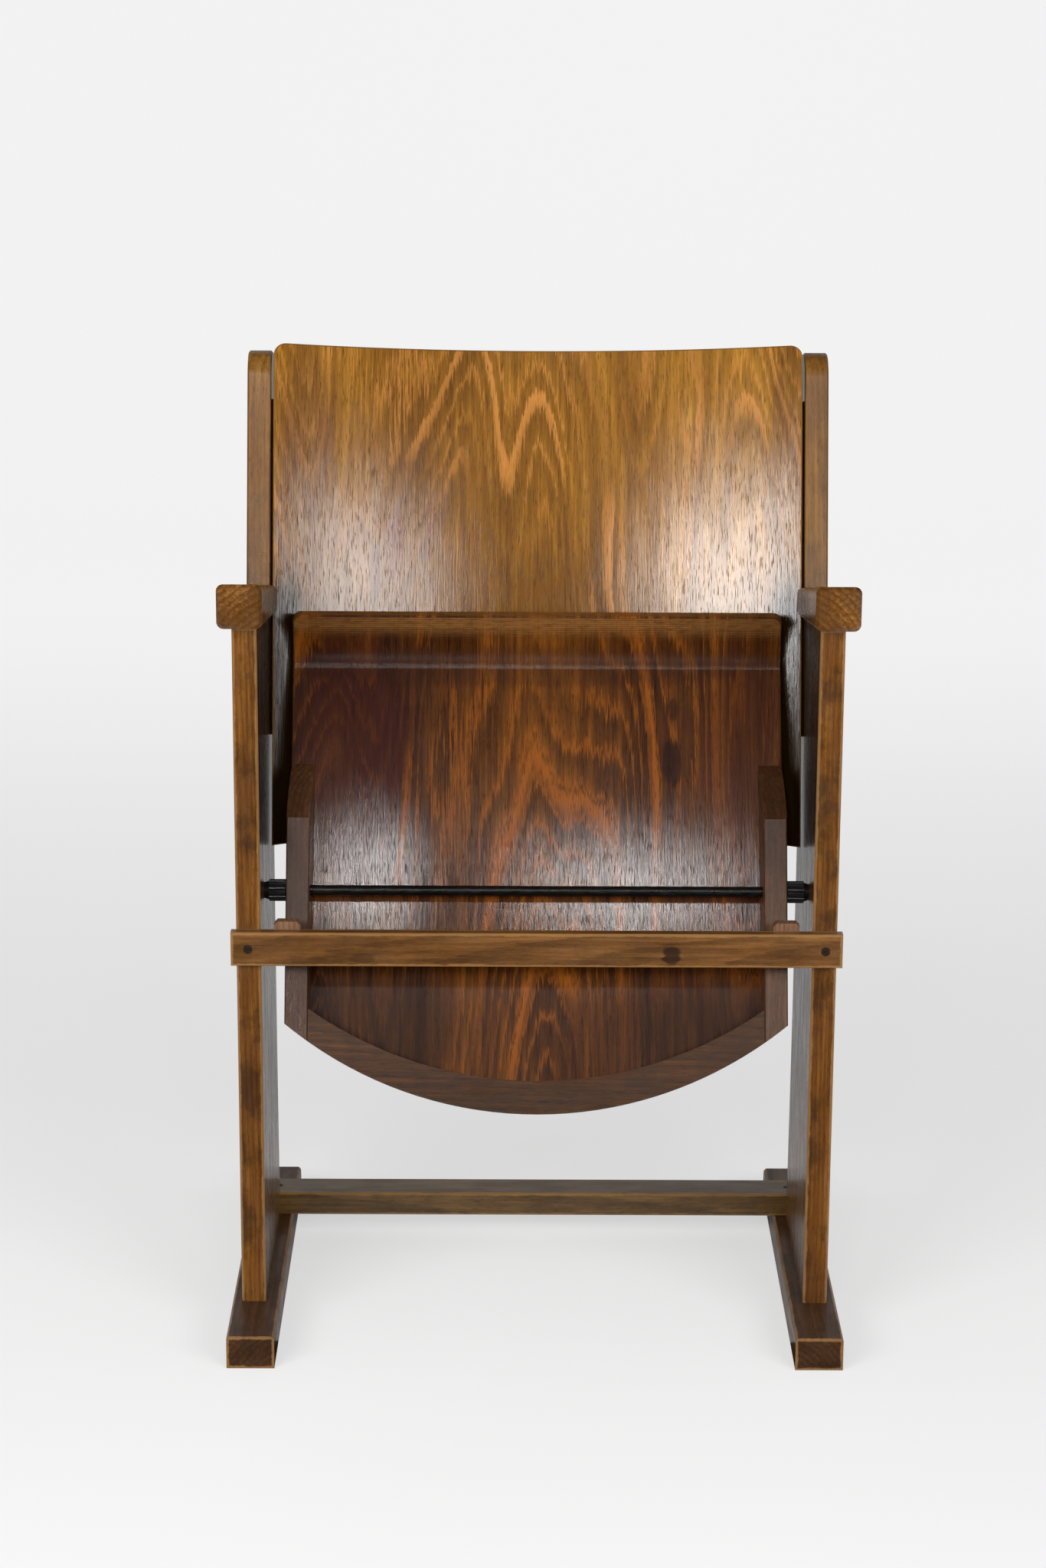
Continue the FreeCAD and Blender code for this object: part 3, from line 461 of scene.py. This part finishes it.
def dress_middle():
    """Materials of the pieces that come once, and of the screws."""
    use("stretcher", beech(
        "stretcher_wood", 27, ((50, 34, 14), (84, 60, 28), (122, 94, 54)), grain="X", ring=5.0, pith=(20, 45),
        slope=0.02, gloss=0.34, wear=mm_box("stretcher")))
    use("front_slat", beech(
        "slat_wood", 31, ((56, 32, 12), (92, 58, 24), (130, 90, 46)), grain="X", ring=5.0, pith=(340, 60),
        slope=0.04, line=0.45, gloss=0.34, wear=mm_box("front_slat"),
        knots=((355, 116, 9, 8, 0.85), (352, -150, 5, 12, 0.4))))
    use("seat_rear_rail", beech(
        "rear_rail_wood", 34, ((32, 16, 4), (62, 34, 9), (98, 62, 22)), grain="X", ring=4.5, pith=(300, 20),
        slope=0.03, gloss=0.34, coat=0.2, dirt=0.5))
    use("armrest_dowels", beech("dowel_wood", 37, ((120, 80, 44), (150, 108, 66), (180, 138, 92))))
    use("backrest_sheet", veneer(
        "back_veneer", 3.0, BACK_ORIGIN, BACK_LEAN, ((88, 52, 10), (126, 82, 16), (160, 112, 34)),
        pale=(190, 126, 58), deep=(76, 42, 8), lines=34.0, flames=11.0, coat=0.9, curved=True, warp=0.6,
        shade_strip_below=110.0, figure=0.3,
        gleams=((-140, 95, 105, 120, 0.75), (175, 95, 110, 135, 1.0)),
        marks=((-128, 112, 9, 34, (96, 48, 18), 0.7), (-146, 84, 5, 26, (84, 40, 16), 0.65),
               (-96, 128, 4, 30, (110, 62, 26), 0.5), (-205, 150, 26, 150, (70, 40, 24), 0.35),
               (222, 150, 16, 160, (66, 34, 18), 0.4))))
    use("seat_sheet", veneer(
        "seat_veneer", 9.0, tuple(AXLE), SHEET_LEAN, ((36, 15, 4), (72, 37, 7), (108, 62, 14)),
        pale=(138, 74, 16), deep=(24, 9, 3), lines=40.0, flames=8.0, coat=0.8, purple=0.85,
        gleams=((-150, 15, 55, 75, 1.0), (90, 0, 115, 70, 0.9)),
        marks=((-165, 120, 55, 110, (52, 16, 12), 0.55), (185, 110, 40, 130, (60, 24, 9), 0.5),
               (-150, -120, 90, 60, (22, 9, 6), 0.6), (160, -130, 70, 60, (26, 10, 6), 0.6),
               (120, 119, 9, 21, (30, 11, 5), 0.85), (121, 166, 5, 11, (36, 14, 6), 0.7),
               (0, 205, 230, 18, (40, 17, 6), 0.4))))
    use("pivot_axle", metal("rod_black", (22, 20, 18), 0.3, 0.6, 5))
    screw_metal = metal("screw_metal", (52, 42, 34), 0.42, 0.7, 8, scale=(0.6, 0.6, 0.6), rust=(74, 50, 32))
    for name in nodes:
        if name.endswith("_screws"):
            use(name, screw_metal)


dress_side("left", -1, 0)
dress_side("right", 1, 50)
dress_middle()

# Smooth shading on curved faces, without touching the CAD points
for obj in nodes.values():
    mod = obj.modifiers.new("weighted", "WEIGHTED_NORMAL")
    mod.keep_sharp = True


# Stage, in metres: pale floor that rises into a backdrop, parted under the seat
STAGE_HALF_WIDTH = 9.0
FLOOR_NEAR = -8.0
FLOOR_PARTING = -0.15
BACKDROP_START = 3.5
BACKDROP_RADIUS = 1.6
BACKDROP_TOP = 6.0
BACKDROP_STEPS = 16


def make_paper():
    """Pale matt stage, lifted towards white for the camera alone, more so further back."""
    g = Graph("paper")
    p = g.node("TexCoord").outputs["Object"]
    cloud = g.noise(p, (0.6, 0.6, 0.6), 3.0, seed=4)
    diffuse = g.node("BsdfDiffuse")
    g.put(g.ramp(cloud, [(0.3, srgb(226, 226, 226)), (0.7, srgb(236, 236, 236))]), diffuse.inputs[0])
    glow = g.node("Emission")
    g.put(srgb(252, 252, 252), glow.inputs[0])
    g.put(1.0, glow.inputs[1])
    seen = g.node("LightPath").outputs["Is Camera Ray"]
    mixed = g.node("MixShader")
    g.put(g.mul(seen, g.span(g.split(p)[1], 0.2, 3.0, 0.55, 0.86)), mixed.inputs[0])
    g.put(diffuse.outputs[0], mixed.inputs[1])
    g.put(glow.outputs[0], mixed.inputs[2])
    g.put(mixed.outputs[0], g.out.inputs[0])
    return g.mat


def stage_part(name, profile, paper, mirrored):
    """One strip of the stage, from points of y and z. A strip that isn't mirrored leaves the varnish dark."""
    mesh = bpy.data.meshes.new(name)
    bm = bmesh.new()
    rows = [[bm.verts.new((x, y, z)) for x in (-STAGE_HALF_WIDTH, STAGE_HALF_WIDTH)] for y, z in profile]
    for low, high in zip(rows, rows[1:]):
        bm.faces.new((low[0], low[1], high[1], high[0])).smooth = True
    bm.to_mesh(mesh)
    bm.free()
    mesh.materials.append(paper)
    obj = bpy.data.objects.new(name, mesh)
    bpy.context.scene.collection.objects.link(obj)
    obj.visible_glossy = mirrored


def make_stage():
    paper = make_paper()
    backdrop = [(FLOOR_PARTING, 0.0), (BACKDROP_START, 0.0)]
    for i in range(1, BACKDROP_STEPS + 1):
        a = math.pi / 2 * i / BACKDROP_STEPS
        backdrop.append((BACKDROP_START + BACKDROP_RADIUS * math.sin(a), BACKDROP_RADIUS * (1 - math.cos(a))))
    backdrop.append((BACKDROP_START + BACKDROP_RADIUS, BACKDROP_TOP))
    stage_part("floor_front", [(FLOOR_NEAR, 0.0), (FLOOR_PARTING, 0.0)], paper, False)
    stage_part("floor_back", backdrop, paper, True)


def area_light(name, azimuth, elevation, distance, width, height, power, aim):
    """Softbox at an azimuth from the front, to the right, that faces the place it aims at."""
    a = math.radians(azimuth)
    e = math.radians(elevation)
    towards = Vector((math.sin(a) * math.cos(e), -math.cos(a) * math.cos(e), math.sin(e)))
    data = bpy.data.lights.new(name, "AREA")
    data.shape = "RECTANGLE"
    data.size = width
    data.size_y = height
    data.energy = power
    obj = bpy.data.objects.new(name, data)
    obj.location = Vector(aim) + towards * distance
    obj.rotation_mode = "QUATERNION"
    obj.rotation_quaternion = (-towards).to_track_quat("-Z", "Y")
    bpy.context.scene.collection.objects.link(obj)


make_stage()
BACK_AIM = (0, 0, 0.7)
SEAT_AIM = (0, -0.05, 0.45)
area_light("left_box", -33, 12.5, 2.6, 1.5, 0.55, 46, BACK_AIM)
area_light("right_box", 33, 12.5, 2.6, 1.5, 0.55, 38, BACK_AIM)
area_light("upper_left_box", -6, 34, 3.0, 0.2, 0.2, 7, SEAT_AIM)
area_light("upper_right_box", 6, 34, 3.0, 0.3, 0.18, 6, SEAT_AIM)

# World: soft white light, brighter where the camera sees it, and never mirrored
WORLD_LIGHT = 0.34
WORLD_SEEN = 0.9
world = bpy.data.worlds.new("studio")
bpy.context.scene.world = world
world.use_nodes = True
tree = world.node_tree
tree.nodes.clear()
background = tree.nodes.new("ShaderNodeBackground")
world_out = tree.nodes.new("ShaderNodeOutputWorld")
background.inputs[0].default_value = (1, 1, 1, 1)
rays = tree.nodes.new("ShaderNodeLightPath")
strength = tree.nodes.new("ShaderNodeMapRange")
tree.links.new(rays.outputs["Is Camera Ray"], strength.inputs["Value"])
strength.inputs["To Min"].default_value = WORLD_LIGHT
strength.inputs["To Max"].default_value = WORLD_SEEN
tree.links.new(strength.outputs[0], background.inputs[1])
tree.links.new(background.outputs[0], world_out.inputs[0])
world.cycles_visibility.glossy = False

# Camera at the photograph's viewpoint
FOCAL_PX = 4700.0
LONG_SIDE_PX = 2048.0
SENSOR_MM = 36.0
PITCH = math.radians(15.0)
YAW = math.radians(0.24)
ROLL = math.radians(0.3)
CAMERA_PLACE = (-0.025, -3.09481, 1.29925)
camera_data = bpy.data.cameras.new("camera")
camera_data.sensor_width = SENSOR_MM
camera_data.lens = FOCAL_PX / LONG_SIDE_PX * SENSOR_MM
camera = bpy.data.objects.new("camera", camera_data)
bpy.context.scene.collection.objects.link(camera)
forward = Vector((math.sin(YAW) * math.cos(PITCH), math.cos(YAW) * math.cos(PITCH), -math.sin(PITCH)))
level = Vector((math.cos(YAW), -math.sin(YAW), 0.0))
upright = level.cross(forward)
right = level * math.cos(ROLL) + upright * math.sin(ROLL)
up = upright * math.cos(ROLL) - level * math.sin(ROLL)
turn = Matrix((right, up, -forward)).transposed().to_4x4()
camera.matrix_world = Matrix.Translation(CAMERA_PLACE) @ turn
bpy.context.scene.camera = camera
bpy.context.scene.view_settings.view_transform = "Standard"
